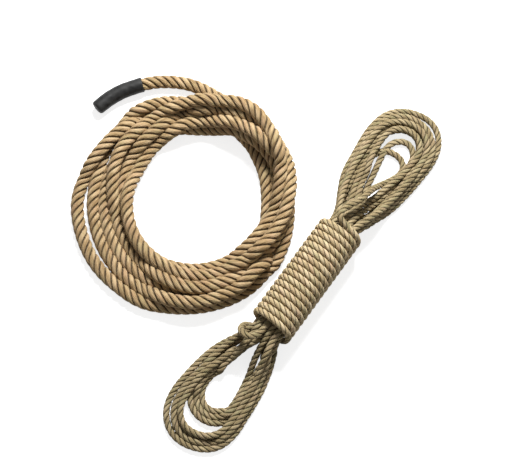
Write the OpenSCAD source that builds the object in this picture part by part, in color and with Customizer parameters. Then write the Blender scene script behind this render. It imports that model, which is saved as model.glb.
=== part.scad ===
// Laid natural-fibre rope in its two stored forms, lying on a flat surface: a thick
// rope in a round coil, with a shrunk-on sleeve on its free end, and a thin rope in a
// long hank whose waist is bound by its own last turns.
// Millimetres, +Z up. The origin is on the surface, at the middle of the set.

/* [Thick rope] */
// Diameter of the thick rope
coil_rope_d = 24; // [20:0.5:26]
// Radius at which the middle of the rope turns where the coil is narrowest
coil_inner_r = 124; // [112:1:128]
// Turns in the coil's lower layer, which the upper layer exceeds by a quarter turn
coil_layer_turns = 3; // [2:1:3]
// Air between one turn of the coil and the next
turn_gap = 0.5; // [0.45:0.05:1]

/* [Sleeve] */
// Length of rope end that the sleeve covers
sleeve_depth = 97; // [70:1:110]
// Wall of the sleeve
sleeve_wall = 1.5; // [1:0.1:2.2]
// Room between the sleeve and the rope in it
sleeve_fit = 0.3; // [0.2:0.05:0.5]
// Thickness of the sleeve's closed end
sleeve_cap = 5; // [3:0.5:8]

/* [Thin rope] */
// Diameter of the thin rope
hank_rope_d = 12; // [10:0.5:13]
// Length of the hank over its two round ends
hank_length = 760; // [720:1:860]
// Width of the hank across its round ends
hank_width = 142; // [136:1:160]
// Step between the hank's loops, wide enough for where the runs slant
loop_step = 13.2; // [13.2:0.1:14.5]
// Air between one layer of loops and the next
layer_gap = 0.7; // [0.6:0.05:1]

/* [Binding round the waist] */
// Whole turns of the binding
wrap_turns = 17; // [13:1:18]
// Air between one turn of the binding and the next
wrap_gap = 0.6; // [0.5:0.05:0.8]
// Air between the binding and the loops under it
wrap_fit = 0.4; // [0.4:0.05:1.5]

/* [Set] */
// Distance of the hank's middle from the coil's, to the right
hank_right = 224; // [220:1:260]
// Distance of the hank's middle from the coil's, to the front
hank_front = 142; // [138:1:180]
// Slant of the hank, from the set's left-to-right line
hank_slant = 54; // [48:1:60]

/* [Hidden] */
straw = [0.72, 0.58, 0.38];
straw_grey = [0.66, 0.56, 0.39];
sleeve_black = [0.13, 0.13, 0.14];
up = [0, 0, 1];

// A wound tube has 6 sides and 24 rings to a loop, and a free stretch has 12 sides.
wound_sides = 6;
free_sides = 12;
sleeve_sides = 24;
rings_per_turn = 24;
// Height of a rope's middle where it lies on the surface, as a share of its radius. What
// would reach below the surface is cut flat.
lie = 0.8;

// ---- Shared geometry ----
function unit(v) = v / norm(v);
function mix(a, b, s) = a + (b - a) * s;
function clamp01(s) = min(1, max(0, s));
// Rises from 0 to 1 with a straight middle and soft ends.
soft_end = 0.2;
function ramp(s) =
    s <= 0 ? 0
    : s >= 1 ? 1
    : s < soft_end ? s * s / (2 * soft_end * (1 - soft_end))
    : s > 1 - soft_end ? 1 - (1 - s) * (1 - s) / (2 * soft_end * (1 - soft_end))
    : (s - soft_end / 2) / (1 - soft_end);
function last(list) = list[len(list) - 1];

// The direction of a path at one of its points. The first or last one can be given.
function dir_at(path, i, first_dir, last_dir) =
    i == 0 && !is_undef(first_dir) ? first_dir
    : i == len(path) - 1 && !is_undef(last_dir) ? last_dir
    : unit(path[min(i + 1, len(path) - 1)] - path[max(i - 1, 0)]);

// One ring of a tube, square to dir. Nothing reaches below the surface.
function ring(centre, dir, up_dir, r, sides) =
    let (side = unit(cross(dir, up_dir)), lift = cross(side, dir))
    [for (k = [0 : sides - 1])
        let (p = centre + r * (cos(360 * k / sides) * side + sin(360 * k / sides) * lift))
        [p.x, p.y, max(p.z, 0)]];

function rings(path, ups, r, sides, first_dir = undef, last_dir = undef) =
    [for (i = [0 : len(path) - 1])
        ring(path[i], dir_at(path, i, first_dir, last_dir), ups[i], r, sides)];

// A closed solid of triangles through a row of rings.
module skin(rows) {
    n = len(rows[0]);
    top = (len(rows) - 1) * n;
    points = [for (row = rows) each row];
    start_cap = [for (k = [1 : n - 2]) [0, k, k + 1]];
    end_cap = [for (k = [1 : n - 2]) [top, top + k + 1, top + k]];
    wall = [for (i = [0 : len(rows) - 2], k = [0 : n - 1], half = [0, 1])
        let (a = i * n + k, b = i * n + (k + 1) % n)
        half == 0 ? [a, a + n, b + n] : [a, b + n, b]];
    polyhedron(points, concat(start_cap, end_cap, wall));
}

// The direction that is up for each ring, carried along the path without twist.
function carried(path, i, up_dir) =
    let (dir = dir_at(path, i), here = unit(up_dir - (up_dir * dir) * dir))
    i == len(path) - 1 ? [here] : concat([here], carried(path, i + 1, here));

// The length of a path, and the part of it that follows a given length.
function path_length(path, from = 0) =
    from >= len(path) - 1 ? 0 : norm(path[from + 1] - path[from]) + path_length(path, from + 1);
function path_after(path, s, i = 0) =
    let (span = norm(path[i + 1] - path[i]))
    s < span ? concat([mix(path[i], path[i + 1], s / span)], [for (k = [i + 1 : len(path) - 1]) path[k]])
    : path_after(path, s - span, i + 1);

// Least air between a tube and itself, between rings at least apart rings from each other.
function least_gap(path, d, apart) =
    min([for (i = [0 : len(path) - 1 - apart])
        min([for (j = [i + apart : len(path) - 1]) norm(path[i] - path[j])])]) - d;

// ---- Thick rope: it spirals in, climbs a layer, and spirals out again on top ----
coil_r = coil_rope_d / 2;
coil_step = coil_rope_d + turn_gap;
coil_low_z = lie * coil_r;
coil_high_z = coil_low_z + coil_step;
// Seen from above, the direction in which the free end leaves the coil.
tail_leaves_at = 50;
coil_last_turn = coil_layer_turns + 0.25;
// Turns count from the climb: the lower layer is before zero and the upper one after it.
function coil_radius(turn) = coil_inner_r + coil_step * abs(turn);
function coil_angle(turn) = tail_leaves_at + 360 * (turn - coil_last_turn);
function coil_point(turn) =
    let (r = coil_radius(turn), a = coil_angle(turn))
    [r * cos(a), r * sin(a), mix(coil_low_z, coil_high_z, clamp01(0.5 + 2 * turn))];
function coil_dir(turn) = [-sin(coil_angle(turn)), cos(coil_angle(turn)), 0];
coil_path = [for (i = [-rings_per_turn * coil_layer_turns : rings_per_turn * coil_last_turn])
    coil_point(i / rings_per_turn)];
// Both ends run straight for one diameter.
coil_hidden_end = coil_path[0] - coil_rope_d * coil_dir(-coil_layer_turns);
coil_tail_start = last(coil_path) + coil_rope_d * coil_dir(coil_last_turn);
coil_wound = concat([coil_hidden_end], coil_path, [coil_tail_start]);
coil_outer_r = coil_radius(coil_last_turn) + coil_r;

// The free end comes down the coil's side to the surface and swings out to the left. Each
// point is the middle of the rope, from the coil's middle and the surface.
tail_route = [
    [96, 182, 28], [82, 197, 19], [66, 211, 12], [46, 225, 10], [22, 237, 10], [-4, 245, 10],
    [-32, 248, 11], [-56, 247, 13], [-79, 242, 14], [-104, 234, 14], [-127, 224, 14],
    [-148, 210, 14], [-163, 197, 14]];
tail_path = concat([coil_tail_start], tail_route);
sleeve_bore_r = coil_r + sleeve_fit;
sleeve_r = sleeve_bore_r + sleeve_wall;
sleeve_path = path_after(tail_path, path_length(tail_path) - sleeve_depth);
sleeve_dir = dir_at(tail_path, len(tail_path) - 1);
sleeve_round = 30;

// ---- Thin rope: four layers of loops, drawn in at the waist ----
hank_r = hank_rope_d / 2;
layer_step = hank_rope_d + layer_gap;
layers = 4;
loops_per_layer = 1.5;
hank_loop_count = layers * loops_per_layer;
wrap_step = hank_rope_d + wrap_gap;
wrap_last_part = 5 / 24;
wrap_length = (wrap_turns + wrap_last_part) * wrap_step;
// Half the spread of the runs in the waist: four columns of four layers.
waist_half_y = 1.5 * loop_step;
waist_half_z = 1.5 * layer_step;
wrap_corner_r = norm([waist_half_y, waist_half_z]) + hank_rope_d + wrap_fit;
// The binding's section is a circle drawn a little towards a square.
squareness = 2.5;
function wrap_radius(a) =
    wrap_corner_r * pow(2, 1 / squareness - 0.5) * pow(pow(abs(cos(a)), squareness)
        + pow(abs(sin(a)), squareness), -1 / squareness);
axis_z = wrap_radius(0) + lie * hank_r;
waist_x = wrap_length / 2 + hank_rope_d;
// The outermost loop's end is a half circle round this point on the hank's length.
eye_outer_r = hank_width / 2 - hank_r;
eye_x = hank_length / 2 - hank_width / 2;
eye_inner_r = eye_outer_r - loops_per_layer * loop_step;
// How far a place on the loops is from the waist's mouth to the round ends, from 0 to 1.
function outward(x) = ramp((abs(x) - waist_x) / (eye_x - waist_x));
// The loop count goes out and in again once for each two layers.
function spread(loop) =
    let (w = loop - 2 * loops_per_layer * floor(loop / (2 * loops_per_layer)))
    min(w, 2 * loops_per_layer - w);
// Each run at a whole or half loop, along the hank. A run climbs where the spiral reverses.
function run_side(half) = half % 2 == 0 ? 1 : -1;
function run_y(half, x) =
    let (s = spread(half / 2), side = run_side(half))
    mix(side * (0.25 + s) * loop_step + 0.25 * loop_step,
        side * (eye_inner_r + s * loop_step), outward(x));
function hank_z(level, x) =
    mix(axis_z - waist_half_z, lie * hank_r, outward(x)) + level * layer_step;
// Which layer the rope is in: whole, but for the run along which it climbs to the next.
climb_half_x = 0.8 * eye_x;
function level_at(half, x_done) =
    let (loop = half / 2, done = floor(loop / loops_per_layer + 0.001),
         climbs = half > 0 && half < 2 * hank_loop_count
             && abs(loop / loops_per_layer - round(loop / loops_per_layer)) < 0.001)
    climbs ? done - 1 + clamp01((x_done + climb_half_x) / (2 * climb_half_x)) : min(done, layers - 1);
// Runs on the +y side go towards -x and come back on the other side.
waist_share = waist_x / eye_x;
run_stations = [-1, -0.85, -0.6, -waist_share, waist_share, 0.6, 0.85, 1];
function run_points(half, stations) =
    [for (station = stations)
        let (x = -run_side(half) * eye_x * station)
        [x, run_y(half, x), hank_z(level_at(half, eye_x * station), x)]];
bend_steps = 5;
function bend_points(half) =
    let (side = run_side(half), r0 = eye_inner_r + spread(half / 2) * loop_step,
         r1 = eye_inner_r + spread((half + 1) / 2) * loop_step,
         level = level_at(half, eye_x))
    [for (i = [1 : bend_steps - 1])
        let (s = i / bend_steps, a = 180 * s, r = mix(r0, r1, s))
        [-side * (eye_x + r * sin(a)), side * r * cos(a), hank_z(level, eye_x)]];
// The rope starts inside the waist and comes out at its front mouth.
hank_last_half = 2 * hank_loop_count;
hank_path = concat(
    run_points(0, [0, waist_share, 0.6, 0.85, 1]), bend_points(0),
    [for (half = [1 : hank_last_half - 1]) each concat(run_points(half, run_stations), bend_points(half))],
    run_points(hank_last_half, [-1, -0.85, -0.6, -waist_share, waist_share]));
hank_out_dir = [-1, 0, 0];

// The binding winds from the front mouth of the waist to the back one.
wrap_first_angle = 180;
function wrap_point(turn) =
    let (a = wrap_first_angle - 360 * turn, r = wrap_radius(a))
    [wrap_step * turn - wrap_length / 2, r * cos(a), axis_z + r * sin(a)];
wrap_turned = [for (i = [0 : rings_per_turn * (wrap_turns + wrap_last_part)])
    wrap_point(i / rings_per_turn)];
wrap_first_dir = unit(wrap_turned[1] - wrap_turned[0]);
wrap_last_dir = unit(last(wrap_turned) - wrap_turned[len(wrap_turned) - 2]);
wrap_start = wrap_turned[0] - hank_rope_d * wrap_first_dir;
wrap_end = last(wrap_turned) + hank_rope_d * wrap_last_dir;
wrap_path = concat([wrap_start], wrap_turned, [wrap_end]);

// From the loops' last run the rope turns out of the front mouth and round the waist, into
// the binding. The points are from the middle of the hank and the surface.
lead_route = [
    [-134, 8, 64], [-146, 14, 70], [-152, 24, 73], [-150, 34, 68], [-144, 40, 54],
    [-135, 41, 38], [-128, 38, 21], [-122, 28, 9], [-118, 8, 6], [-115, -13, 6],
    [-112, -31, 13]];
lead_path = concat([last(hank_path)], lead_route, [wrap_start]);
// From the binding it runs on over the loops, down through the back eye, round inside the
// eye on the surface, and back under the loops to its hidden end.
tuck_route = [
    [116, 10, 84], [126, 15, 83], [138, 15, 79], [152, 10, 75], [168, 3, 70], [184, 0, 64],
    [199, -1, 52], [212, -2, 37], [224, -4, 22], [238, -9, 11], [256, -17, 6], [276, -24, 5],
    [298, -27, 5], [317, -22, 5], [329, -8, 5], [329, 8, 5], [317, 22, 5], [298, 27, 5],
    [276, 24, 5], [250, 19, 5], [222, 14, 5], [196, 9, 5], [172, 5, 5], [150, 2, 5]];
tuck_path = concat([wrap_end], tuck_route);

// ---- Set: the coil at the back left, the hank at the front right ----
function coil_reach(a) =
    coil_radius(coil_last_turn - (tail_leaves_at - a + 360) % 360 / 360) + coil_r;
hank_reach = [eye_x * cos(hank_slant) + hank_width / 2, eye_x * sin(hank_slant) + hank_width / 2];
set_back = max([for (p = tail_route) p.y]) + coil_r;
coil_at = [(coil_reach(180) - hank_right - hank_reach.x) / 2, (hank_front + hank_reach.y - set_back) / 2, 0];
hank_at = coil_at + [hank_right, -hank_front, 0];

echo(air_in_coil = least_gap(coil_wound, coil_rope_d, 6));
echo(air_in_loops = least_gap(hank_path, hank_rope_d, 6));
echo(air_in_binding = least_gap(wrap_path, hank_rope_d, 6));

module at_hank() {
    translate(hank_at) rotate(hank_slant) children();
}

// A plain round tube along a free stretch, squared to what it meets at its first end.
module free_rope(path, r, first_dir, last_dir = undef) {
    skin(rings(path, carried(path, 0, [0.02, 0.01, 1]), r, free_sides, first_dir, last_dir));
}

module coil_turns() {
    color(straw) translate(coil_at)
        skin(rings(coil_wound, [for (p = coil_wound) up], coil_r, wound_sides));
}

module coil_tail() {
    color(straw) translate(coil_at) free_rope(tail_path, coil_r, coil_dir(coil_last_turn));
}

// A cup of even wall, shrunk on over the rope's end, with a rounded closed end.
module tail_sleeve() {
    n = len(sleeve_path);
    ups = [for (p = sleeve_path) up];
    rope_end = last(sleeve_path);
    bore_end = rope_end + sleeve_fit * sleeve_dir;
    tip = bore_end + sleeve_cap * sleeve_dir;
    bore_rings = rings(sleeve_path, ups, sleeve_bore_r, sleeve_sides);
    bore = concat([ring(bore_end, sleeve_dir, up, sleeve_bore_r, sleeve_sides)],
        [for (i = [n - 1 : -1 : 0]) bore_rings[i]]);
    outside = rings(sleeve_path, ups, sleeve_r, sleeve_sides);
    rounding = [for (a = [0 : sleeve_round : 90])
        ring(tip - sleeve_cap * (1 - sin(a)) * sleeve_dir, sleeve_dir, up,
            sleeve_r - sleeve_cap * (1 - cos(a)), sleeve_sides)];
    color(sleeve_black) translate(coil_at) skin(concat(bore, outside, rounding));
}

module hank_loops() {
    color(straw_grey) at_hank()
        skin(rings(hank_path, [for (p = hank_path) up], hank_r, wound_sides, undef, hank_out_dir));
}

module hank_lead() {
    color(straw_grey) at_hank() free_rope(lead_path, hank_r, hank_out_dir, wrap_first_dir);
}

module hank_wrap() {
    color(straw_grey) at_hank()
        skin(rings(wrap_path, [for (p = wrap_path) unit([0, p.y, p.z - axis_z])],
            hank_r, wound_sides, wrap_first_dir, wrap_last_dir));
}

module hank_tuck() {
    color(straw_grey) at_hank() free_rope(tuck_path, hank_r, wrap_last_dir);
}

coil_turns();
coil_tail();
tail_sleeve();
hank_loops();
hank_lead();
hank_wrap();
hank_tuck();
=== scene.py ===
# %% [markdown]
# # A rope set: a coil of thick rope and a bound hank of thin rope
#
# This lesson dresses two laid ropes of plant fibre that a CAD model has already
# placed. A laid rope is three or four strands twisted round each other, and each
# strand is a bundle of yarns twisted the other way. That second twist is why the
# fibres on the outside slant less than the strands do.
#
# Everything is in metres, in the CAD model's own frame, with the floor at z = 0.

# %% Load the CAD model as a fixed frame
import bpy
import math
import time
import numpy as np
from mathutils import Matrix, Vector


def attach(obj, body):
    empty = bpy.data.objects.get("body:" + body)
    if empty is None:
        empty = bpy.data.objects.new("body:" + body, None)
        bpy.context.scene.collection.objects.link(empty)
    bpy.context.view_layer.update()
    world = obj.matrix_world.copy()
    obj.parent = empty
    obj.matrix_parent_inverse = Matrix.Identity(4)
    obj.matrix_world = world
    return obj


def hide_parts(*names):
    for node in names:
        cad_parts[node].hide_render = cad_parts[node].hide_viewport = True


clock = time.time()
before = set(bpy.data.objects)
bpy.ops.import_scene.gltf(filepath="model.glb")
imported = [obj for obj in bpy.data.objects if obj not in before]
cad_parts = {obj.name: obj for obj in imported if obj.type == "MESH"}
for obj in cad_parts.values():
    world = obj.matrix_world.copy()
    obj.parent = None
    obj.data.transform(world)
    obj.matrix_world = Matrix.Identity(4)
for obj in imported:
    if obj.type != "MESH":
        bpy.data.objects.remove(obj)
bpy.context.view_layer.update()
MM = 0.001
print("CAD nodes:", ", ".join(sorted(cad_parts)))


# %% [markdown]
# ## The camera
#
# A set of small ropes is best shown from nearly overhead, so that every turn of the
# coil can be followed. A long lens far away keeps the circle round. The camera
# could be rotated by hand, but a lens axis turned with `to_track_quat` always
# points exactly at its aim.

# %% Camera
aim = Vector((-0.005, 0.053, 0.0))
camera_distance = 2.236
tilt = math.radians(75)
camera_data = bpy.data.cameras.new("view_camera")
camera_data.lens = 85
camera_data.sensor_width = 36
camera = bpy.data.objects.new("view_camera", camera_data)
bpy.context.scene.collection.objects.link(camera)
camera.location = aim + camera_distance * Vector((0, -math.cos(tilt), math.sin(tilt)))
camera.rotation_euler = (aim - camera.location).to_track_quat("-Z", "Y").to_euler()
bpy.context.scene.camera = camera
bpy.context.scene.view_settings.view_transform = "Standard"
print("camera stands", round((aim - camera.location).length, 3), "m from its aim")


# %% [markdown]
# ## A smooth line through chosen points
#
# A rope never turns a sharp corner, so its middle line is drawn through a few chosen
# points by a Catmull-Rom spline, which passes through every point and keeps its
# direction there. The line is then cut again into even steps, because the later
# steps (settling and sweeping) want points at equal distances.

# %% Smooth line helper
fine_cuts = 12


def smooth_line(points, step):
    """Even points, `step` apart, on a smooth line through the chosen points."""
    p = np.asarray(points, float)
    p = np.vstack([2 * p[0] - p[1], p, 2 * p[-1] - p[-2]])
    fine = []
    t = np.linspace(0, 1, fine_cuts, endpoint=False)[:, None]
    for a, b, c, d in zip(p[:-3], p[1:-2], p[2:-1], p[3:]):
        fine.append(0.5 * (2 * b + (c - a) * t + (2 * a - 5 * b + 4 * c - d) * t ** 2
                           + (3 * b - a - 3 * c + d) * t ** 3))
    return even_steps(np.vstack(fine + [p[-2:-1]]), step)


def way_along(line):
    """How far along the line each of its points is, in metres."""
    return np.concatenate([[0], np.cumsum(np.linalg.norm(np.diff(line, axis=0), axis=1))])


def even_steps(line, step):
    """The same line with its points at equal distances."""
    along = way_along(line)
    count = max(2, int(round(along[-1] / step)) + 1)
    at = np.linspace(0, along[-1], count)
    return np.column_stack([np.interp(at, along, line[:, i]) for i in range(3)])


def line_length(line):
    """How long a line is, in metres."""
    return float(np.linalg.norm(np.diff(line, axis=0), axis=1).sum())


# %% [markdown]
# ## Settling a rope under its own weight
#
# Chosen points say where each turn goes, but not how turns rest on each other.
# Blender's own cloth and rigid body solvers are slow for a rope of many turns, and
# the rope would creep out of the shape it was laid in. A few lines of position
# based dynamics do it: every round lets the line sink a little, then moves points
# apart wherever two stretches are nearer than the given thickness, keeps them above
# the floor, keeps the steps even, and straightens tight bends. Nothing in it is
# random. The thickness is given a little smaller than the rope's, because turns of
# rope flatten where they press on each other.

# %% Settling helper
near = 1.6  # thicknesses within which two stretches are watched
search_every = 12  # rounds between two searches for such stretches
push_way = (0.35, 0.35, 1.0)  # stretches part mostly upward, as turns pile up
push_gain = 1.3
calm_from, calm_sink = 0.8, 0.3  # the last rounds sink more slowly


def settle(line, thickness, rounds, floor_at, hold, sink=0.0004, bend=0.25, held=None):
    """Moves the points of a line until the rope rests on the floor and on itself.

    `hold` draws points back to their places in the view from above, `sink` is their
    fall in a round, `bend` straightens, and a point with `held` at 1 stays put.
    """
    p = line.copy()
    home = line.copy()
    count = len(p)
    step = line_length(line) / (count - 1)
    skip = int(math.ceil(near * thickness / step))
    free = np.ones(count) if held is None else 1.0 - held
    inner = free[1:-1, None]
    for turn in range(rounds):
        if turn % search_every == 0:
            i, j = near_pairs(p, near * thickness, skip)
        p[:, 2] -= sink * free * (1.0 if turn < rounds * calm_from else calm_sink)
        p[:, :2] += hold * (home[:, :2] - p[:, :2]) * free[:, None]
        for _ in range(2):
            away = p[i] - p[j]
            gap = np.linalg.norm(away, axis=1)
            deep = gap < thickness
            a, b = i[deep], j[deep]
            push = away[deep] * ((thickness - gap[deep]) / np.maximum(gap[deep], 1e-6))[:, None]
            push *= push_way
            share = free[a] + free[b] + 1e-9
            move = np.zeros_like(p)
            weight = np.zeros(count)
            np.add.at(move, a, push * (free[a] / share)[:, None])
            np.add.at(move, b, -push * (free[b] / share)[:, None])
            np.add.at(weight, a, 1)
            np.add.at(weight, b, 1)
            p += push_gain * move / np.maximum(weight, 1)[:, None]
            p[:, 2] = np.maximum(p[:, 2], floor_at)
        middle = 0.5 * (p[:-2] + p[2:])
        p[1:-1] += bend * (middle - p[1:-1]) * inner * 0.5
        lap = np.zeros_like(p)
        lap[1:-1] = middle - p[1:-1]
        p[2:-2] += bend * (lap[2:-2] - 0.5 * (lap[1:-3] + lap[3:-1])) * free[2:-2, None]
        for odd in (0, 1):
            a = np.arange(odd, count - 1, 2)
            way = p[a + 1] - p[a]
            size = np.linalg.norm(way, axis=1)
            fix = 0.5 * way * ((size - step) / np.maximum(size, 1e-6))[:, None]
            p[a] += fix * free[a][:, None]
            p[a + 1] -= fix * free[a + 1][:, None]
    return p


def near_pairs(p, reach, skip):
    """Pairs of points nearer than `reach` that aren't neighbours along the rope."""
    rows, columns = [], []
    chunk = 400  # points at a time, to save memory
    for start in range(0, len(p), chunk):
        part = p[start:start + chunk]
        apart = ((part[:, None, :] - p[None, :, :]) ** 2).sum(axis=2)
        a, b = np.nonzero(apart < reach ** 2)
        a = a + start
        keep = b - a > skip
        rows.append(a[keep])
        columns.append(b[keep])
    return np.concatenate(rows), np.concatenate(columns)


# %% [markdown]
# ## From a line to a laid rope
#
# The rope's cross-section is a ring of round lobes, one for each strand. The ring
# is copied along the line and turned a little more at every copy, clockwise as it
# goes away from you, which makes a right-hand laid rope. Because the ring turns
# with the strands, each column of vertices follows one strand, and the edges of
# the mesh lie along the grooves, where they are wanted.
#
# Two UV maps are written. In `lay` the first number counts strands round the rope
# and the second counts full twists along it. In `fibre` the pattern slants less than
# the strands, as the yarns do, and both numbers are in metres.

# %% Laid rope helper
yarn_slant = 0.5  # as a share of the strands' slant


def strand_ring(strands, radius, crown, groove, spots):
    """The rope's outline round one turn, starting in a groove: angles and radii."""
    angles, radii = [], []
    for strand in range(strands):
        for x in spots:
            angles.append((strand + 0.5 + 0.5 * x) * 2 * math.pi / strands)
            # the groove cuts into the outer half of each lobe
            cut = max(0.0, (abs(x) - 0.5) / 0.5) ** 2
            radii.append(radius * (1 - crown * x * x - groove * cut))
    return np.array(angles), np.array(radii)


def turning_frames(line):
    """The line's way and two directions square to it, carried along without twist."""
    way = np.gradient(line, axis=0)
    way /= np.linalg.norm(way, axis=1)[:, None]
    side = np.zeros_like(line)
    first = np.cross(way[0], (0, 0, 1.0))
    if np.linalg.norm(first) < 0.1:
        first = np.cross(way[0], (0, 1.0, 0))
    side[0] = first / np.linalg.norm(first)
    for k in range(1, len(line)):
        s = side[k - 1] - way[k] * np.dot(side[k - 1], way[k])
        side[k] = s / np.linalg.norm(s)
    return way, side, np.cross(way, side)


def laid_rope(name, line, ring, strands, lay, rings_per_lay, start_length=0.0,
              slim_end=False, frames=None):
    """A mesh of a laid rope along the line.

    A rope in two pieces gets the same lay across their join when both share `frames`
    and the second one's `start_length` is the first one's length. `slim_end` makes the
    last rings a hair thinner, so that they lie inside the piece that runs on.
    """
    step = lay / rings_per_lay
    if frames is None:
        line = even_steps(line, step)
        frames = turning_frames(line)
    way, side, up = frames
    angle, ring_radius = ring
    columns = len(angle)
    count = len(line)
    along = way_along(line) + start_length
    twist = 2 * math.pi * along / lay
    turn = angle[None, :] + twist[:, None]
    size = np.ones(count)
    if slim_end:
        size[-4:] = (0.995, 0.99, 0.98, 0.975)
    radius = ring_radius[None, :] * size[:, None]
    points = (line[:, None, :]
              + (radius * np.cos(turn))[:, :, None] * side[:, None, :]
              + (radius * np.sin(turn))[:, :, None] * up[:, None, :])
    points = np.vstack([points.reshape(-1, 3), line[:1], line[-1:]])
    k = np.arange(count - 1)[:, None] * columns
    c = np.arange(columns)[None, :]
    n = (c + 1) % columns
    quads = np.stack([k + c, k + n, k + columns + n, k + columns + c], axis=2).reshape(-1, 4)
    first, last = count * columns, count * columns + 1
    tail = (count - 1) * columns
    c1, n1 = c[0], n[0]
    cap_a = np.stack([n1, c1, np.full(columns, first)], axis=1)
    cap_b = np.stack([tail + c1, tail + n1, np.full(columns, last)], axis=1)
    mesh = bpy.data.meshes.new(name)
    mesh.vertices.add(len(points))
    mesh.vertices.foreach_set("co", points.ravel())
    corners = np.concatenate([quads.ravel(), cap_a.ravel(), cap_b.ravel()])
    starts = np.concatenate([np.arange(len(quads)) * 4,
                             len(quads) * 4 + np.arange(2 * columns) * 3])
    mesh.loops.add(len(corners))
    mesh.loops.foreach_set("vertex_index", corners)
    mesh.polygons.add(len(starts))
    mesh.polygons.foreach_set("loop_start", starts)
    mesh.update(calc_edges=True)
    mesh.validate()
    # UV maps: the strands' own twist, and the yarns' gentler slant
    around = np.append(angle, 2 * math.pi) / (2 * math.pi)
    c2 = np.broadcast_to(c, (count - 1, columns))
    k2 = np.broadcast_to(np.arange(count - 1)[:, None], (count - 1, columns))
    u = np.stack([around[c2], around[c2 + 1], around[c2 + 1], around[c2]], axis=2)
    v = np.stack([along[k2], along[k2], along[k2 + 1], along[k2 + 1]], axis=2)
    t = np.stack([twist[k2], twist[k2], twist[k2 + 1], twist[k2 + 1]], axis=2) / (2 * math.pi)
    ends = np.zeros((2 * columns * 3, 2))
    mean = float(ring_radius.mean())
    lay_map = np.stack([u * strands, v / lay], axis=3).reshape(-1, 2)
    fibre_u = (u + (1 - yarn_slant) * t) * 2 * math.pi * mean
    fibre_map = np.stack([fibre_u, v], axis=3).reshape(-1, 2)
    for title, data in (("lay", lay_map), ("fibre", fibre_map)):
        layer = mesh.uv_layers.new(name=title)
        layer.data.foreach_set("uv", np.vstack([data, ends]).ravel())
    mesh.polygons.foreach_set("use_smooth", np.ones(len(mesh.polygons), bool))
    obj = bpy.data.objects.new(name, mesh)
    bpy.context.scene.collection.objects.link(obj)
    print(f"{name}: {line_length(line):.2f} m, {count} rings, "
          f"{len(quads) * 2 + 2 * columns} triangles")
    return obj


# %% [markdown]
# ## The thick rope
#
# The rope is 24 mm thick, four strands, one full twist every 62 mm. It was coiled
# by hand, clockwise from its free end, so no turn is quite round: each was thrown
# down a little beside or across the last one. A clock face is an easy way to write
# that down. Every turn passes the twelve hours once, starting at one o'clock, and the
# last one runs on for two hours more. At each hour it has a radius in mm and a level,
# the number of ropes lying underneath, with a half on a slope. A loop works out the
# points from these. The heap leans to the front as it gets higher. Seen from above, the
# free end repeats the CAD model's points. Unlike there, it lies on the floor all the
# way and runs in under the turns.

# %% Where the turns go
coil_at = np.array([-0.138327, 0.101493, 0.0])
# the hole's middle, from which the clock is read
eye_at = coil_at + MM * np.array([25.0, 15.6, 0.0])
thick_d = 0.024
thick_lay = 0.062
thick_strands = 4
thick_rings = 18
thick_pressed = 0.88
first_hour = 60
hour_step = 30
eye_stretch = 1.035
level_rise = 22
level_lean = -5.5
# the free end, from the sleeve back to the coil, in mm from the coil's middle
tail_route = [
    (-163, 197, 14), (-148, 210, 14), (-127, 224, 14), (-104, 234, 14), (-79, 242, 14),
    (-56, 247, 13), (-32, 248, 12), (-4, 245, 12), (22, 237, 12), (46, 225, 12),
    (66, 211, 12), (82, 197, 12)]
# one row for each turn: the radius at 1, 2, 3 ... 12 o'clock
turn_radii = [
    (170, 168, 165, 176, 190, 198, 211, 221, 222, 199, 184, 173),
    (168, 158, 151, 160, 175, 188, 194, 192, 190, 196, 195, 170),
    (147, 138, 134, 139, 154, 167, 172, 174, 174, 166, 149, 138),
    (148, 161, 165, 160, 158, 162, 154, 151, 156, 169, 174, 178),
    (195, 174, 148, 131, 125, 126, 130, 134, 138, 147, 155, 170),
    (179, 182, 168, 151, 139, 134, 131, 130, 129, 130, 140, 157, 164, 169)]
# and how many ropes lie under it there
turn_levels = [
    (0, 0, 0, 0, 0, 0, 0, 0, 0, 1, 0, 0),
    (0, 0.5, 1, 1, 1, 1, 0, 0, 0, 0, 0, 0),
    (0, 0, 0, 0, 0, 0, 0, 0, 0, 0, 0, 1),
    (1, 2, 2, 1, 1, 1, 1, 1, 1, 1, 1, 1.5),
    (3, 3, 2, 1, 1, 1, 1, 1, 1, 1, 2, 2),
    (2, 1.5, 2, 2, 2, 2, 2, 2, 2, 2, 2, 3, 3, 2)]


def coil_turns(radii, levels):
    """The coil's points, one for each hour that the rope passes."""
    points = []
    for hour, (radius, level) in enumerate(zip(radii, levels)):
        angle = math.radians(first_hour - hour_step * hour)
        points.append(eye_at + MM * np.array((
            radius * math.cos(angle),
            eye_stretch * radius * math.sin(angle) + level_lean * level,
            1000 * thick_d / 2 + level_rise * level)))
    return points


coil_points = coil_turns(sum(turn_radii, ()), sum(turn_levels, ()))
tail_points = [coil_at + MM * np.array(p, float) for p in tail_route]
print(len(coil_points), "points for", round(len(coil_points) / 12, 2), "turns")

# %% [markdown]
# The points say where the rope was thrown down, and now it settles. After that the
# script looks for the place where the free end becomes the first turn.

# %% Let the coil settle
coil_step = 0.006
thick_line = smooth_line(tail_points + coil_points, coil_step)
# the sleeve is thicker than its rope, so it holds the rope's middle a little higher
lift, lift_ends, lift_fades = 0.0022, 0.140, 0.040
from_end = coil_step * np.arange(len(thick_line))
sleeve_lift = lift * np.clip((lift_ends - from_end) / lift_fades, 0, 1)
thick_line = settle(thick_line, thick_pressed * thick_d, rounds=260,
                    floor_at=thick_d / 2 + sleeve_lift, hold=0.12)
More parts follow.
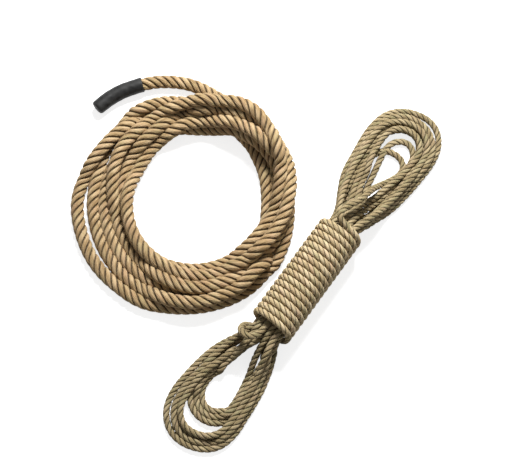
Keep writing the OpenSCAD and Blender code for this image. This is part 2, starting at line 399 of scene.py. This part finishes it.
# the free end becomes the first turn at the point nearest to this place
join_near = coil_at + MM * np.array((104.0, 178.0, 12))
first_points = 120  # the free end is among these
tail_share = int(np.argmin(np.linalg.norm(thick_line[:first_points] - join_near, axis=1)))
print("thick rope:", round(line_length(thick_line), 2), "m, highest middle",
      round(float(thick_line[:, 2].max()), 4), "lowest", round(float(thick_line[:, 2].min()), 4),
      "seconds", round(time.time() - clock, 1))

# %% [markdown]
# The rope is made as two pieces, as in the CAD model. Both share one set of frames, so
# the strands run on across the join. A ring has more spots near a groove than on a
# crown, since that is where the outline turns sharply.

# %% Make the two pieces of the thick rope
thick_spots = (-1, -0.88, -0.7, -0.45, -0.15, 0.15, 0.45, 0.7, 0.88)
thick_ring = strand_ring(thick_strands, radius=0.0125, crown=0.12, groove=0.27, spots=thick_spots)
thick_step = thick_lay / thick_rings
thick_fine = smooth_line(thick_line, thick_step)
thick_frames = turning_frames(thick_fine)
cut = int(round(line_length(thick_line[:tail_share + 1]) / thick_step))


def part_of(frames, a, b):
    """The frames of one stretch of a line."""
    return tuple(f[a:b] for f in frames)


rope_tail = laid_rope(
    "thick_rope_free_end", thick_fine[:cut + 2], thick_ring, thick_strands, thick_lay,
    thick_rings, slim_end=True, frames=part_of(thick_frames, 0, cut + 2))
rope_turns = laid_rope(
    "thick_rope_turns", thick_fine[cut:], thick_ring, thick_strands, thick_lay,
    thick_rings, start_length=line_length(thick_fine[:cut + 1]),
    frames=part_of(thick_frames, cut, None))


# %% [markdown]
# ## The thin rope
#
# The thin rope is 12 mm thick, three strands, one full twist every 36 mm. It was
# wound into long loops, and its last metres were bound round the middle. That gives
# three places to describe: the waist, where all runs lie packed in a bundle, and
# the two eyes, where the loops spread out and lie on each other.
#
# At each end of the hank a loop turns in a drop-shaped bow: it leaves its place in the
# bundle, swells to its full width and turns round at its tip. A few numbers describe
# one bow, so eight loops need a short table. They are written in the hank's own frame,
# in mm, with x along the hank, and `hank_point` turns that frame to where the hank lies.

# %% The hank's frame
hank_at = np.array([0.085673, -0.040507, 0.0])
thin_d = 0.012
thin_lay = 0.036
thin_strands = 3
thin_rings = 12
thin_pressed = 0.9
hank_slant = 54
axis_height = 42


def hank_point(x, y, z):
    """From the hank's frame in mm to the set's frame in metres."""
    slant = math.radians(hank_slant)
    return hank_at + MM * np.array((x * math.cos(slant) - y * math.sin(slant),
                                    x * math.sin(slant) + y * math.cos(slant), z))


# %% [markdown]
# One run after another takes its place in the bundle, up the hank on the left and down
# it on the right. A bow at the hank's end joins each run to the next.

# %% The bundle's places and the loops
# left places going up the hank, right places coming down, about from the bottom row up
left_places = [(12, -15.6), (0, -15.6), (18, -5.2), (6, -5.2), (24, 5.2), (12, 5.2),
               (18, 15.6), (0, 5.2)]
right_places = [(-12, -15.6), (-6, -5.2), (-18, -5.2), (-12, 5.2), (-24, 5.2), (-6, 15.6),
                (-18, 15.6), (6, 15.6)]
# how far each bow reaches, how far it goes left and right, where its tip is, its level,
# and how late it spreads: an outer bow spreads at once, an inner one stays in the bundle
front_bows = [(393, 73, -58, -3, 0, 1.0), (371, 60, -46, 4, 0, 1.1), (356, 49, -33, 4, 0, 1.8),
              (373, 64, -51, 5, 1, 1.0), (363, 53, -39, 4, 1, 1.2), (300, 45, -29, 4, 1, 3.5),
              (367, 59, -45, 5, 2, 1.0), (351, 44, -31, 5, 2, 2.6)]
back_bows = [(364, 76, -55, 16, 0, 0.7), (345, 58, -44, 14, 0, 1.2), (309, 52, -36, 9, 0, 2.4),
             (350, 61, -49, 15, 1, 1.1), (300, 46, -31, 8, 1, 4.0), (291, 42, -30, 7, 1, 6.0),
             (340, 54, -41, 13, 2, 1.8)]
# where the bows begin, and the places along the waist that every run passes
first_x = 118
waist_stations = (-60, 0, 60)
bow_level_rise = 12.5
# how a bow swells on its way: share of the way, of its width, of its height kept
swell = [(0.07, 0.13, 0.97), (0.22, 0.46, 0.84), (0.42, 0.75, 0.60), (0.62, 0.90, 0.33),
         (0.82, 0.98, 0.10), (1.00, 1.00, 0)]


def bow(reach, left, right, tip, level, late, way, start, finish):
    """One bow: out from its place in the bundle, round its tip and back."""
    base = 1000 * thin_d / 2 + bow_level_rise * level
    round_part = (left - right) / 2
    straight = reach - round_part - first_x
    out = []
    for full, (y, z) in ((left, start), (right, finish)):
        run = [(first_x, y, z + axis_height)]
        for share, width, height in swell:
            run.append((first_x + share * straight, y + (full - y) * width ** late,
                        height * (z + axis_height) + (1 - height) * base))
        for angle in (30, 60):
            run.append((reach - round_part * (1 - math.sin(math.radians(angle))),
                        tip + (full - tip) * math.cos(math.radians(angle)), base))
        out.append(run)
    return [(way * x, y, z) for x, y, z in out[0] + [(reach, tip, base)] + out[1][::-1]]


def waist_run(place, stations):
    """The points of one run through the waist, at its place in the bundle."""
    y, z = place
    return [(x, y, z + axis_height) for x in stations]


# the hidden end lies in the first place, and the last run leads on to the binding
loop_points = waist_run(left_places[0], (60, 90))
for k, front in enumerate(front_bows):
    loop_points += bow(*front, 1, left_places[k], right_places[k])
    loop_points += waist_run(right_places[k], waist_stations[::-1])
    if k < len(back_bows):
        loop_points += bow(*back_bows[k], -1, left_places[k + 1], right_places[k])[::-1]
        loop_points += waist_run(left_places[k + 1], waist_stations)
loop_points += [(-100, 6, 58), (-120.4, 6.6, 61)]
print(len(loop_points), "points for", len(front_bows), "loops")

# %% [markdown]
# From the loops a short lead curls back to the waist. The rope then winds round it as
# the binding, and its end is tucked into the eye on the other side. The lead and the
# tucked end repeat the CAD model's points, but on the floor the tucked end's middle
# lies at the rope's own radius. The binding is a helix, a little squarer than a circle,
# since it lies on a bundle.

# %% The lead, the binding and the tucked end
lead_route = [(-134, 8, 64), (-146, 14, 70), (-152, 24, 73), (-150, 34, 68), (-144, 40, 54),
              (-135, 41, 38), (-128, 38, 21), (-122, 28, 9), (-118, 8, 6), (-115, -13, 6),
              (-112, -31, 13)]
tuck_route = [(116, 10, 84), (126, 15, 83), (138, 15, 79), (152, 10, 75), (168, 3, 70),
              (184, 0, 64), (199, -1, 52), (212, -2, 37), (224, -4, 22), (238, -9, 11),
              (256, -17, 6), (276, -24, 6), (298, -27, 6), (317, -22, 6), (329, -8, 6),
              (329, 8, 6), (317, 22, 6), (298, 27, 6), (276, 24, 6), (250, 19, 6),
              (222, 14, 6), (196, 9, 6), (172, 5, 6), (150, 2, 6)]


turn_points = 24
binding_turns = 17 + 5 / turn_points
binding_long = 216.8
binding_r = 36.6
binding_flat = 2.5  # 2 would wind a circle, and a higher number a squarer form
binding_lean = 3.0


def binding_line():
    """The binding turns, which wind left-handed along the hank."""
    points = []
    for k in range(int(binding_turns * turn_points) + 1):
        angle = math.pi - 2 * math.pi * k / turn_points
        radius = binding_r / (abs(math.cos(angle)) ** binding_flat
                              + abs(math.sin(angle)) ** binding_flat) ** (1 / binding_flat)
        x = -binding_long / 2 + binding_long * k / (turn_points * binding_turns)
        points.append((x + binding_lean * math.sin(angle), radius * math.cos(angle),
                       axis_height + radius * math.sin(angle)))
    return points


binding = binding_line()
print("binding starts", [round(v, 1) for v in binding[0]],
      "ends", [round(v, 1) for v in binding[-1]])

# %% [markdown]
# The loops settle like the coil, but the binding grips them in the waist, so there the
# points are held. The other pieces don't settle: the binding is pulled tight, and the
# lead and the tucked end keep their chosen points.

# %% Let the loops settle
loops_step = 0.004
loops_line = smooth_line([hank_point(*p) for p in loop_points], loops_step)
hank_turn = math.radians(hank_slant)
axis_way = np.array((math.cos(hank_turn), math.sin(hank_turn), 0))
along_hank = (loops_line - hank_at) @ axis_way
# the binding holds the waist, less and less towards the eyes, and the lead's start
grip_ends, grip_fades, lead_start = 0.230, 0.110, 10
held = np.clip((grip_ends - np.abs(along_hank)) / grip_fades, 0, 1)
held[-lead_start:] = 1
loops_line = settle(loops_line, thin_pressed * thin_d, rounds=120, floor_at=thin_d / 2,
                    hold=0.03, sink=0.0003, held=held)
print("loops:", round(line_length(loops_line), 2), "m, seconds", round(time.time() - clock, 1))

# %% [markdown]
# The thin rope is made as four pieces, one for each CAD node. The lead and the tucked
# end start a little way inside the piece before them, so no gap shows at a join.

# %% Make the thin rope
thin_spots = (-1, -0.8, -0.45, 0, 0.45, 0.8)
thin_ring = strand_ring(thin_strands, radius=0.0063, crown=0.11, groove=0.22, spots=thin_spots)
thin_step = thin_lay / thin_rings


def thin_rope(name, line):
    """A piece of the thin rope."""
    return laid_rope(name, line, thin_ring, thin_strands, thin_lay, thin_rings)


hank_loops = thin_rope("thin_rope_loops", smooth_line(loops_line, thin_step))
lead_line = smooth_line([loops_line[-6], loops_line[-1]]
                        + [hank_point(*p) for p in lead_route]
                        + [hank_point(*p) for p in binding[:3]], thin_step)
hank_lead = thin_rope("thin_rope_lead", lead_line)
wrap_line = smooth_line([hank_point(*p) for p in binding], thin_step)
hank_wrap = thin_rope("thin_rope_binding", wrap_line)
tuck_line = smooth_line([hank_point(*p) for p in binding[-2:]]
                        + [hank_point(*p) for p in tuck_route], thin_step)
hank_tuck = thin_rope("thin_rope_tucked_end", tuck_line)

# %% [markdown]
# ## The sleeve on the free end
#
# A laid rope comes undone unless its end is held. Here a shrink sleeve holds it: a
# plastic cap, open at one end, that was slid over the rope and heated until it
# gripped. It is modelled straight first, because extruding is easy along one axis: a
# short ring of the mouth is pulled out step by step to the closed end, and the end
# is rounded by smaller and smaller steps. Only then is it bent along the rope.

# %% Model the sleeve straight
def pick_faces(obj, rule):
    """Selects the faces whose middle and direction fit the rule, in edit mode."""
    bpy.ops.object.mode_set(mode="OBJECT")
    for face in obj.data.polygons:
        face.select = bool(rule(face.center, face.normal))
    for edge in obj.data.edges:
        edge.select = False
    for vertex in obj.data.vertices:
        vertex.select = False
    for face in obj.data.polygons:
        if face.select:
            for v in face.vertices:
                obj.data.vertices[v].select = True
    bpy.ops.object.mode_set(mode="EDIT")


def closed_end(middle, normal):
    """True for the faces at the end that is being pulled out."""
    return middle.z > top - 1e-5 and normal.z > 0.9


sleeve_r = 0.0141
sleeve_long = 0.092
first_ring = 0.002
taper = 1 - 0.0003
lip, wall, mouth_deep = 0.0003, 0.0009, 0.006
bpy.ops.object.select_all(action="DESELECT")
bpy.ops.mesh.primitive_cylinder_add(vertices=48, radius=sleeve_r, depth=first_ring,
                                    location=(0, 0, first_ring / 2), end_fill_type="NGON")
sleeve = bpy.context.object
sleeve.name = "end_sleeve"
bpy.ops.object.mode_set(mode="EDIT")
bpy.ops.mesh.select_mode(type="FACE")
steps = 30
rise = (sleeve_long - first_ring) / steps
# a new cylinder's own z runs from its middle, so its top is at half its depth
top = first_ring / 2
for k in range(steps):
    pick_faces(sleeve, closed_end)
    bpy.ops.mesh.extrude_region_move(TRANSFORM_OT_translate={"value": (0, 0, rise)})
    top += rise
    bpy.ops.transform.resize(value=(taper, taper, 1))
for rise, shrink in ((0.0030, 0.985), (0.0022, 0.950), (0.0016, 0.89), (0.0010, 0.80),
                     (0.0005, 0.62)):
    pick_faces(sleeve, closed_end)
    bpy.ops.mesh.extrude_region_move(TRANSFORM_OT_translate={"value": (0, 0, rise)})
    top += rise
    bpy.ops.transform.resize(value=(shrink, shrink, 1))
pick_faces(sleeve, closed_end)
bpy.ops.mesh.inset(thickness=0.0026)
bpy.ops.mesh.inset(thickness=0.0020)
# the mouth: a rounded lip and an inner wall
pick_faces(sleeve, lambda middle, normal: normal.z < -0.9)
bpy.ops.mesh.inset(thickness=lip)
bpy.ops.transform.translate(value=(0, 0, -lip))
bpy.ops.mesh.inset(thickness=wall)
bpy.ops.mesh.inset(thickness=lip)
bpy.ops.transform.translate(value=(0, 0, lip))
bpy.ops.mesh.extrude_region_move(TRANSFORM_OT_translate={"value": (0, 0, mouth_deep)})
bpy.ops.object.mode_set(mode="OBJECT")
print("sleeve:", len(sleeve.data.polygons), "faces")


# %% [markdown]
# Every vertex now moves from the straight axis to the rope's line: its z says how far
# along the rope it belongs, and its x and y how far to the side and up. The rounded
# end stands a little past the rope's own end. The shape swells a little where a strand
# lies under it, and two faint waves make it uneven, as heating does.

# %% Bend the sleeve along the rope
strand_swell, slow_wave, quick_wave = 0.009, 0.010, 0.006


def bend_sleeve(obj, line, frames):
    """Moves a straight shape so that its own z axis follows the rope's end."""
    way, side, up = frames
    along = way_along(line)
    for v in obj.data.vertices:
        x, y, z = v.co
        s = sleeve_long - z
        spot = max(0.0, s)
        k = int(np.clip(np.searchsorted(along, spot), 1, len(line) - 1))
        part = (spot - along[k - 1]) / (along[k] - along[k - 1])
        middle = line[k - 1] * (1 - part) + line[k] * part
        t = way[k - 1] * (1 - part) + way[k] * part
        a = side[k - 1] * (1 - part) + side[k] * part
        b = up[k - 1] * (1 - part) + up[k] * part
        middle = middle + t * min(0.0, s)
        angle = math.atan2(y, x)
        lobes = 1 + strand_swell * math.cos(
            thick_strands * (angle + 2 * math.pi * s / thick_lay) + math.pi)
        lobes += slow_wave * math.sin(70 * s + 2 * angle) + quick_wave * math.sin(190 * s - angle)
        inside_the_mouth = math.hypot(x, y) < sleeve_r - wall and z < 0.01
        if inside_the_mouth:
            lobes = 1
        v.co = Vector(middle + a * x * lobes - b * y * lobes)
    obj.data.update()


bend_sleeve(sleeve, thick_fine, thick_frames)
bpy.ops.object.select_all(action="DESELECT")
sleeve.select_set(True)
bpy.context.view_layer.objects.active = sleeve
# applying the cylinder's place also lifts the sleeve by half of its first ring
bpy.ops.object.transform_apply(location=True, rotation=True, scale=True)
bpy.ops.object.mode_set(mode="EDIT")
bpy.ops.mesh.select_all(action="SELECT")
bpy.ops.mesh.normals_make_consistent(inside=False)
bpy.ops.object.mode_set(mode="OBJECT")
bpy.ops.object.shade_smooth()

# %% [markdown]
# ## The fibre finish
#
# Both ropes are plant fibre, so one node group serves both, placed in each material
# with its own colours. Where the strands meet, the colour is painted near-black: a
# painted shade for the little light that gets into the grooves. Over the strands run
# the yarns, with painted shade in the gaps between them, and over these the single
# fibres, each a little lighter, redder or greener than the next.
# The group reads the two UV maps that `laid_rope` wrote: `lay` tells how near a
# point is to a groove, and `fibre` stretches noise into streaks along the yarns.

# %% Node group: plant fibre
def add_node(tree, kind, links=None, **values):
    """A node with its settings, and its inputs linked or filled by name or number."""
    node = tree.nodes.new(kind)
    for key, value in values.items():
        setattr(node, key, value)
    for key, value in (links or {}).items():
        socket = node.inputs[key]
        if isinstance(value, bpy.types.NodeSocket):
            tree.links.new(value, socket)
        else:
            socket.default_value = value
    return node


def plant_fibre_group():
    """Colour, roughness and height of twisted plant fibre."""
    tree = bpy.data.node_groups.new("plant_fibre", "ShaderNodeTree")
    for name, kind, value in (
            ("Light", "NodeSocketColor", (0.6, 0.43, 0.24, 1)),
            ("Straw", "NodeSocketColor", (0.44, 0.3, 0.16, 1)),
            ("Dark", "NodeSocketColor", (0.19, 0.11, 0.045, 1)),
            # painted shade: the near-black colour laid into the grooves between strands
            ("Groove shade", "NodeSocketColor", (0.03, 0.015, 0.005, 1)),
            ("Blush", "NodeSocketColor", (0.5, 0.28, 0.17, 1)),
            ("Moss", "NodeSocketColor", (0.36, 0.31, 0.14, 1)),
            ("Yarns per metre", "NodeSocketFloat", 400.0),
            ("Fibres per metre", "NodeSocketFloat", 1500.0),
            ("Groove start", "NodeSocketFloat", 0.72)):
        socket = tree.interface.new_socket(name, in_out="INPUT", socket_type=kind)
        socket.default_value = value
    for name, kind in (("Color", "NodeSocketColor"), ("Roughness", "NodeSocketFloat"),
                       ("Height", "NodeSocketFloat")):
        tree.interface.new_socket(name, in_out="OUTPUT", socket_type=kind)
    inp = tree.nodes.new("NodeGroupInput").outputs
    out = tree.nodes.new("NodeGroupOutput").inputs

    def math_node(operation, a, b=None):
        links = {0: a} if b is None else {0: a, 1: b}
        return add_node(tree, "ShaderNodeMath", links, operation=operation).outputs[0]

    def noise(vector, scale, detail):
        node = add_node(tree, "ShaderNodeTexNoise",
                        {"Vector": vector, "Scale": scale, "Detail": detail,
                         "Roughness": 0.55}, noise_dimensions="3D")
        return node.outputs[0]

    def ramp(value, low, high, to_low=0.0, to_high=1.0):
        node = add_node(tree, "ShaderNodeMapRange",
                        {"Value": value, "From Min": low, "From Max": high,
                         "To Min": to_low, "To Max": to_high},
                        interpolation_type="SMOOTHSTEP")
        return node.outputs[0]

    def blend_colour(factor, a, b):
        node = add_node(tree, "ShaderNodeMix", data_type="RGBA")
        for key, value in ((0, factor), (6, a), (7, b)):
            if isinstance(value, bpy.types.NodeSocket):
                tree.links.new(value, node.inputs[key])
            else:
                node.inputs[key].default_value = value
        return node.outputs[2]

    lay = add_node(tree, "ShaderNodeUVMap", uv_map="lay").outputs[0]
    fibre = add_node(tree, "ShaderNodeUVMap", uv_map="fibre").outputs[0]
    lay_x = add_node(tree, "ShaderNodeSeparateXYZ", {0: lay}).outputs[0]
    parts = add_node(tree, "ShaderNodeSeparateXYZ", {0: fibre}).outputs
    strand = math_node("FLOOR", lay_x)
    strand_shift = 7.3
    from_crown = math_node("MULTIPLY", math_node("ABSOLUTE", math_node(
        "SUBTRACT", math_node("FRACT", lay_x), 0.5)), 2.0)

    def stretched(across, lengthwise):
        """A place to look up noise, at a fineness across and along, new on each strand."""
        return add_node(tree, "ShaderNodeCombineXYZ",
                        {0: math_node("MULTIPLY", parts[0], across),
                         1: math_node("MULTIPLY", parts[1], lengthwise),
                         2: math_node("MULTIPLY", strand, strand_shift)}).outputs[0]

    wander = noise(stretched(90.0, 45.0), 1.0, 2.0)
    streak = noise(stretched(inp["Fibres per metre"],
                             math_node("MULTIPLY", inp["Fibres per metre"], 0.05)), 1.0, 4.0)
    coarse = noise(stretched(math_node("MULTIPLY", inp["Fibres per metre"], 0.33),
                             math_node("MULTIPLY", inp["Fibres per metre"], 0.03)), 1.0, 3.0)
    patch = noise(stretched(75.0, 38.0), 1.0, 2.0)
    hue = noise(stretched(60.0, 30.0), 1.3, 2.0)
    yarn = math_node("ABSOLUTE", math_node("SINE", math_node(
        "ADD", math_node("MULTIPLY", math_node("MULTIPLY", parts[0], inp["Yarns per metre"]),
                         math.pi), math_node("MULTIPLY", wander, 5.0))))
    # nearness to a groove, which sets where the painted groove shade lies and where the bump dips
    edge = ramp(from_crown, inp["Groove start"], 1.0)
    painted_groove_shade = math_node("MULTIPLY", edge, ramp(streak, 0.25, 0.65, 0.45, 1.0))

    # from fine streaks to broad patches, then painted shade in the gaps between yarns, and
    # painted shade in the grooves last
    colour = blend_colour(ramp(streak, 0.34, 0.60), inp["Dark"], inp["Straw"])
    colour = blend_colour(ramp(patch, 0.42, 0.66, 0.0, 0.85), colour, inp["Light"])
    colour = blend_colour(ramp(coarse, 0.54, 0.72, 0.0, 0.55), colour, inp["Light"])
    colour = blend_colour(ramp(coarse, 0.47, 0.33, 0.0, 0.60), colour, inp["Dark"])
    colour = blend_colour(ramp(hue, 0.53, 0.68, 0.0, 0.50), colour, inp["Blush"])
    colour = blend_colour(ramp(hue, 0.47, 0.32, 0.0, 0.55), colour, inp["Moss"])
    # painted shade in the gaps between yarns
    colour = blend_colour(ramp(yarn, 0.40, 0.0, 0.0, 0.55), colour, inp["Dark"])
    # painted shade in the grooves, ragged along the fibre streaks
    colour = blend_colour(painted_groove_shade, colour, inp["Groove shade"])
    height = math_node("ADD", math_node("MULTIPLY", yarn, 0.55),
                       math_node("MULTIPLY", streak, 0.7))
    height = math_node("SUBTRACT", height, math_node("MULTIPLY", edge, 0.8))
    tree.links.new(colour, out["Color"])
    tree.links.new(ramp(streak, 0.3, 0.7, 0.92, 0.74), out["Roughness"])
    tree.links.new(height, out["Height"])
    return tree


plant_fibre = plant_fibre_group()


# %% [markdown]
# The thick rope is warm straw and the thin one greyer. The thin rope gets two
# materials from the same group, a lit and a shaded copy of one colour: its loops and
# free stretches are painted a shade greyer and darker than its binding. That is painted
# shade on one and the same rope.

# %% Rope materials
def rope_material(name, colours, yarns, fibres, groove_start, bump):
    """A material with the plant fibre group in these colours and at this scale."""
    material = bpy.data.materials.new(name)
    material.use_nodes = True
    tree = material.node_tree
    shader = tree.nodes["Principled BSDF"]
    group = tree.nodes.new("ShaderNodeGroup")
    group.node_tree = plant_fibre
    for key, value in colours.items():
        group.inputs[key].default_value = (*value, 1)
    group.inputs["Yarns per metre"].default_value = yarns
    group.inputs["Fibres per metre"].default_value = fibres
    group.inputs["Groove start"].default_value = groove_start
    bump_node = add_node(tree, "ShaderNodeBump",
                         {"Height": group.outputs["Height"], "Strength": 0.8,
                          "Distance": bump})
    tree.links.new(group.outputs["Color"], shader.inputs["Base Color"])
    tree.links.new(group.outputs["Roughness"], shader.inputs["Roughness"])
    tree.links.new(bump_node.outputs["Normal"], shader.inputs["Normal"])
    shader.inputs["Specular IOR Level"].default_value = 0.10
    shader.inputs["Sheen Weight"].default_value = 0.05
    shader.inputs["Sheen Roughness"].default_value = 0.5
    return material


# the near-black groove colour is painted shade, and groove_start sets how far it reaches from
# each groove
thick_fibre = rope_material(
    "thick_rope_fibre",
    {"Light": (0.61, 0.455, 0.265), "Straw": (0.49, 0.34, 0.176), "Dark": (0.22, 0.138, 0.06),
     "Groove shade": (0.010, 0.005, 0.002), "Blush": (0.50, 0.32, 0.19), "Moss": (0.42, 0.335, 0.17)},
    yarns=380, fibres=1500, groove_start=0.55, bump=0.0010)
thin_fibre = rope_material(
    "thin_rope_fibre",
    {"Light": (0.72, 0.59, 0.38), "Straw": (0.58, 0.45, 0.26), "Dark": (0.33, 0.24, 0.12),
     "Groove shade": (0.026, 0.019, 0.008), "Blush": (0.60, 0.41, 0.27), "Moss": (0.46, 0.41, 0.22)},
    yarns=600, fibres=2200, groove_start=0.66, bump=0.0007)
# painted shade: the thin rope's colours made darker and greyer, for its loops and free stretches
shaded_fibre = rope_material(
    "thin_rope_fibre_painted_shade",
    {"Light": (0.51, 0.41, 0.245), "Straw": (0.37, 0.29, 0.155), "Dark": (0.185, 0.135, 0.065),
     "Groove shade": (0.014, 0.011, 0.005), "Blush": (0.40, 0.285, 0.18), "Moss": (0.29, 0.275, 0.145)},
    yarns=600, fibres=2200, groove_start=0.62, bump=0.0007)
for piece in (rope_tail, rope_turns):
    piece.data.materials.append(thick_fibre)
hank_wrap.data.materials.append(thin_fibre)
# the loops, the lead and the tucked end get the copy with painted shade
for piece in (hank_loops, hank_lead, hank_tuck):
    piece.data.materials.append(shaded_fibre)


# %% [markdown]
# The sleeve is black plastic. Soft clouds of a slightly lighter black, with their own
# roughness, look like the rubbing of hands, and a very fine bump breaks its gleam.

# %% Sleeve material
def sleeve_material():
    """Black shrink plastic, rubbed a little lighter in places."""
    material = bpy.data.materials.new("shrink_sleeve")
    material.use_nodes = True
    tree = material.node_tree
    shader = tree.nodes["Principled BSDF"]
    place = tree.nodes.new("ShaderNodeTexCoord").outputs["Object"]
    cloud = add_node(tree, "ShaderNodeTexNoise", {"Vector": place, "Scale": 55.0, "Detail": 4.0})
    grain = add_node(tree, "ShaderNodeTexNoise", {"Vector": place, "Scale": 900.0, "Detail": 2.0})
    tone = add_node(tree, "ShaderNodeMapRange",
                    {"Value": cloud.outputs[0], "From Min": 0.35, "From Max": 0.7})
    colour = add_node(tree, "ShaderNodeMix", data_type="RGBA")
    colour.inputs[6].default_value = (0.006, 0.006, 0.006, 1)
    colour.inputs[7].default_value = (0.030, 0.030, 0.029, 1)
    tree.links.new(tone.outputs[0], colour.inputs[0])
    rough = add_node(tree, "ShaderNodeMapRange",
                     {"Value": cloud.outputs[0], "From Min": 0.3, "From Max": 0.7,
                      "To Min": 0.42, "To Max": 0.62})
    bump = add_node(tree, "ShaderNodeBump",
                    {"Height": grain.outputs[0], "Strength": 0.35, "Distance": 0.0002})
    tree.links.new(colour.outputs[2], shader.inputs["Base Color"])
    tree.links.new(rough.outputs[0], shader.inputs["Roughness"])
    shader.inputs["Specular IOR Level"].default_value = 0.2
    tree.links.new(bump.outputs["Normal"], shader.inputs["Normal"])
    return material


sleeve.data.materials.clear()
sleeve.data.materials.append(sleeve_material())

# %% [markdown]
# ## Floor and light
#
# The set lies on a white table, under one soft lamp above and behind it and a pale
# room all round. Floor and room are to look white without washing out the ropes. So
# both use the light path: a ray that comes from the camera, or by way of a mirror or
# through glass, sees them bright, while the light that they throw on the ropes is dim.

# %% Floor, room and lamp
floor_size, floor_z = 12, -0.0003
floor_grey, floor_glow = 0.55, 0.78
room_light = 0.24


def seen_directly(tree):
    """1 for rays from the camera, mirrored rays and transmitted rays, otherwise 0."""
    path = tree.nodes.new("ShaderNodeLightPath").outputs
    seen = add_node(tree, "ShaderNodeMath", {0: path["Is Camera Ray"], 1: path["Is Glossy Ray"]},
                    operation="MAXIMUM").outputs[0]
    return add_node(tree, "ShaderNodeMath", {0: seen, 1: path["Is Transmission Ray"]},
                    operation="MAXIMUM").outputs[0]


def white_floor():
    """A grey diffuse floor with a glow that only direct rays see."""
    bpy.ops.object.select_all(action="DESELECT")
    bpy.ops.mesh.primitive_plane_add(size=floor_size, location=(0, 0, floor_z))
    floor = bpy.context.object
    floor.name = "floor"
    material = bpy.data.materials.new("white_table")
    material.use_nodes = True
    tree = material.node_tree
    tree.nodes.remove(tree.nodes["Principled BSDF"])
    strength = add_node(tree, "ShaderNodeMath", {0: seen_directly(tree), 1: floor_glow},
                        operation="MULTIPLY").outputs[0]
    glow = add_node(tree, "ShaderNodeEmission", {"Color": (1, 1, 1, 1), "Strength": strength})
    plain = add_node(tree, "ShaderNodeBsdfDiffuse",
                     {"Color": (floor_grey, floor_grey, floor_grey, 1)})
    both = add_node(tree, "ShaderNodeAddShader", {0: glow.outputs[0], 1: plain.outputs[0]})
    tree.links.new(both.outputs[0], tree.nodes["Material Output"].inputs["Surface"])
    floor.data.materials.append(material)


def pale_room():
    """Soft light from all round, which looks white where it is seen directly."""
    world = bpy.data.worlds.new("studio")
    bpy.context.scene.world = world
    world.use_nodes = True
    tree = world.node_tree
    strength = add_node(tree, "ShaderNodeMapRange",
                        {"Value": seen_directly(tree), "To Min": room_light, "To Max": 1.0})
    background = tree.nodes["Background"]
    background.inputs["Color"].default_value = (1, 1, 1, 1)
    tree.links.new(strength.outputs[0], background.inputs["Strength"])


def soft_lamp(name, place, size, power):
    """A rectangular lamp that shines at the middle of the set."""
    data = bpy.data.lights.new(name, "AREA")
    data.shape = "RECTANGLE"
    data.size = size[0]
    data.size_y = size[1]
    data.energy = power
    lamp = bpy.data.objects.new(name, data)
    bpy.context.scene.collection.objects.link(lamp)
    lamp.location = place
    lamp.rotation_euler = (Vector((0, 0, 0)) - Vector(place)).to_track_quat("-Z", "Y").to_euler()


white_floor()
pale_room()
soft_lamp("key_light", (0.25, 1.4, 1.75), (0.6, 0.45), 86)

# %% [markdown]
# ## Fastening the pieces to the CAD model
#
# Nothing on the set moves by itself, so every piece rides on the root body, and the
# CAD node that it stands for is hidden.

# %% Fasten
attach(rope_tail, "root")
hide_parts("coil_tail")
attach(sleeve, "root")
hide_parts("tail_sleeve")
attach(rope_turns, "root")
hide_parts("coil_turns")
for piece, node, line, exit_at, far, lay in (
        (hank_loops, "hank_loops", loops_line, loops_line[-1], "bare", "coiled"),
        (hank_lead, "hank_lead", lead_line, lead_line[0], "object", "loose"),
        (hank_wrap, "hank_wrap", wrap_line, wrap_line[0], "object", "coiled"),
        (hank_tuck, "hank_tuck", tuck_line, tuck_line[0], "bare", "loose")):
    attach(piece, "root")
    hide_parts(node)
